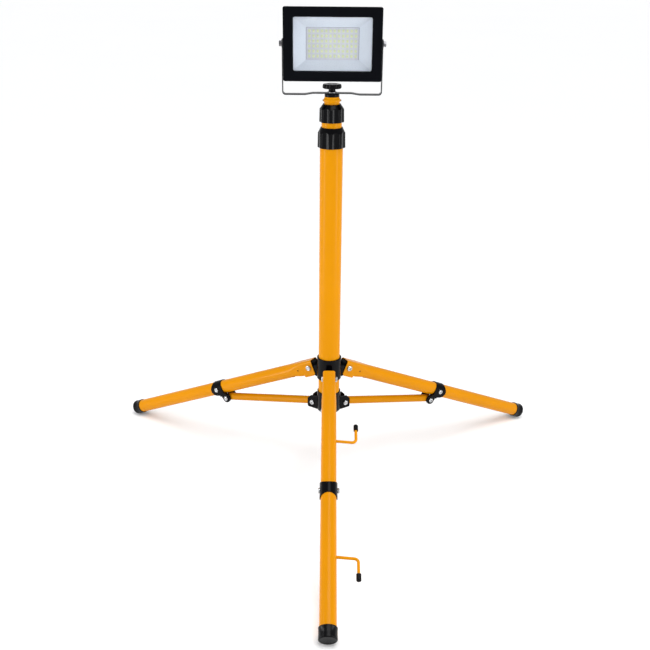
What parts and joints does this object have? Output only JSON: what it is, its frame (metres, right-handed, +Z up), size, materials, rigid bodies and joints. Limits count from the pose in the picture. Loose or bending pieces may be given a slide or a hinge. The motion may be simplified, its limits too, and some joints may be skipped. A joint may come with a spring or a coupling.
{
  "type": "tripod work light",
  "caption": "LED floodlight on a folding tripod stand with a telescoping mast, a tilting U bracket and cable hooks on the front leg.",
  "frame": {"origin": "where the mast axis meets the floor", "axes": "+Z up along the mast, -Y the way the lamp and the front leg point, +X to the right seen from the front"},
  "size_m": [0.8716, 0.7584, 0.8802],
  "materials": {
    "orange_paint": "semi-gloss powder coat",
    "black_plastic": "fine moulded texture",
    "natural_plastic": "natural nylon",
    "zinc_steel": "zinc plated",
    "brass_insert": "machined",
    "grey_bracket": "dark grey satin paint",
    "black_casting": "black powder coat",
    "clear_glass": "clear toughened",
    "black_rubber": "moulded",
    "white_reflector": "white satin",
    "board_white": "white solder mask",
    "phosphor": "yellow phosphor dome"
  },
  "bodies": {
    "mast": {"main_tube": "orange_paint", "base_plug": "black_plastic", "base_collar": "black_plastic", "base_collar_bolts": "zinc_steel", "base_collar_nuts": "zinc_steel", "lower_thread_bush": "black_plastic", "lower_collet": "natural_plastic"},
    "lower_twist": {"lower_twist_collar": "black_plastic"},
    "middle_mast": {"middle_tube": "orange_paint", "middle_guide_bush": "natural_plastic", "upper_thread_bush": "black_plastic", "upper_collet": "natural_plastic"},
    "upper_twist": {"upper_twist_collar": "black_plastic"},
    "inner_mast": {"inner_tube": "orange_paint", "inner_guide_bush": "natural_plastic", "top_plug": "black_plastic", "head_stud": "zinc_steel"},
    "yoke": {"head_bracket": "grey_bracket", "head_washer": "zinc_steel"},
    "clamp_knob": {"head_knob": "black_plastic", "head_knob_insert": "brass_insert"},
    "lamp": {"lamp_bezel": "black_casting", "lamp_glass": "clear_glass", "glass_gasket": "black_rubber", "lamp_housing": "black_casting", "reflector": "white_reflector", "led_board": "board_white", "led_chips": "phosphor", "thermal_pad": "black_rubber", "led_driver": "board_white", "cover_screws": "zinc_steel", "cable_gland": "black_plastic", "gland_nut": "black_plastic", "breather_vent": "black_plastic", "tilt_bolts": "zinc_steel", "tilt_washers": "zinc_steel"},
    "hub": {"hub_collar": "black_plastic", "hub_lock_insert": "brass_insert"},
    "lock_knob": {"hub_lock_knob": "black_plastic", "hub_lock_screw": "zinc_steel"},
    "strut_front": {"strut_front": "orange_paint"},
    "leg_front": {"leg_tube_front": "orange_paint", "leg_clamp_front": "black_plastic", "foot_cap_front": "black_rubber", "leg_fasteners_front": "zinc_steel", "cable_hook_upper": "orange_paint", "cable_hook_lower": "orange_paint", "hook_tip_upper": "black_rubber", "hook_tip_lower": "black_rubber"},
    "strut_right": {"strut_right": "orange_paint"},
    "leg_right": {"leg_tube_right": "orange_paint", "leg_clamp_right": "black_plastic", "foot_cap_right": "black_rubber", "leg_fasteners_right": "zinc_steel"},
    "strut_left": {"strut_left": "orange_paint"},
    "leg_left": {"leg_tube_left": "orange_paint", "leg_clamp_left": "black_plastic", "foot_cap_left": "black_rubber", "leg_fasteners_left": "zinc_steel"}
  },
  "joints": [
    {"name": "hub_slide", "type": "slide", "parent": "mast", "child": "hub", "axis": [0, 0, 1], "range_m": [0, 0.37031]},
    {"name": "hub_lock_turn", "type": "hinge", "parent": "hub", "child": "lock_knob", "pos_m": [0, 0.04, 0.23109], "axis": [0, 1, 0], "range_deg": [0, 360]},
    {"name": "lower_twist_turn", "type": "hinge", "parent": "mast", "child": "lower_twist", "pos_m": [0, 0, 0.67], "axis": [0, 0, 1], "range_deg": [0, 90]},
    {"name": "middle_mast_slide", "type": "slide", "parent": "mast", "child": "middle_mast", "axis": [0, 0, 1], "range_m": [0, 0.42]},
    {"name": "upper_twist_turn", "type": "hinge", "parent": "middle_mast", "child": "upper_twist", "pos_m": [0, 0, 0.712], "axis": [0, 0, 1], "range_deg": [0, 90]},
    {"name": "inner_mast_slide", "type": "slide", "parent": "middle_mast", "child": "inner_mast", "axis": [0, 0, 1], "range_m": [0, 0.42]},
    {"name": "yoke_pan", "type": "hinge", "parent": "inner_mast", "child": "yoke", "pos_m": [0, 0, 0.744], "axis": [0, 0, 1], "range_deg": [-180, 180]},
    {"name": "clamp_knob_turn", "type": "hinge", "parent": "inner_mast", "child": "clamp_knob", "pos_m": [0, 0, 0.752], "axis": [0, 0, 1], "range_deg": [0, 360]},
    {"name": "lamp_tilt", "type": "hinge", "parent": "yoke", "child": "lamp", "pos_m": [0, 0, 0.8215], "axis": [1, 0, 0], "range_deg": [-90, 90]},
    {"name": "strut_fold_front", "type": "hinge", "parent": "mast", "child": "strut_front", "pos_m": [0, -0.0302, 0.15409], "axis": [-1, 0, 0], "range_deg": [0, 102.56]},
    {"name": "leg_fold_front", "type": "hinge", "parent": "strut_front", "child": "leg_front", "pos_m": [0, -0.23644, 0.10792], "axis": [1, 0, 0], "range_deg": [0, 163.91]},
    {"name": "strut_fold_right", "type": "hinge", "parent": "mast", "child": "strut_right", "pos_m": [0.02615, 0.0151, 0.15409], "axis": [0.5, -0.866, 0], "range_deg": [0, 102.56]},
    {"name": "leg_fold_right", "type": "hinge", "parent": "strut_right", "child": "leg_right", "pos_m": [0.20476, 0.11822, 0.10792], "axis": [-0.5, 0.866, 0], "range_deg": [0, 163.91]},
    {"name": "strut_fold_left", "type": "hinge", "parent": "mast", "child": "strut_left", "pos_m": [-0.02615, 0.0151, 0.15409], "axis": [0.5, 0.866, 0], "range_deg": [0, 102.56]},
    {"name": "leg_fold_left", "type": "hinge", "parent": "strut_left", "child": "leg_left", "pos_m": [-0.20476, 0.11822, 0.10792], "axis": [-0.5, -0.866, 0], "range_deg": [0, 163.91]}
  ],
  "couplings": [
    {"joint": "strut_fold_front", "follows": "hub_slide", "rad_per_m": 4.8328},
    {"joint": "leg_fold_front", "follows": "hub_slide", "rad_per_m": 7.7246},
    {"joint": "strut_fold_right", "follows": "hub_slide", "rad_per_m": 4.8328},
    {"joint": "leg_fold_right", "follows": "hub_slide", "rad_per_m": 7.7246},
    {"joint": "strut_fold_left", "follows": "hub_slide", "rad_per_m": 4.8328},
    {"joint": "leg_fold_left", "follows": "hub_slide", "rad_per_m": 7.7246}
  ]
}
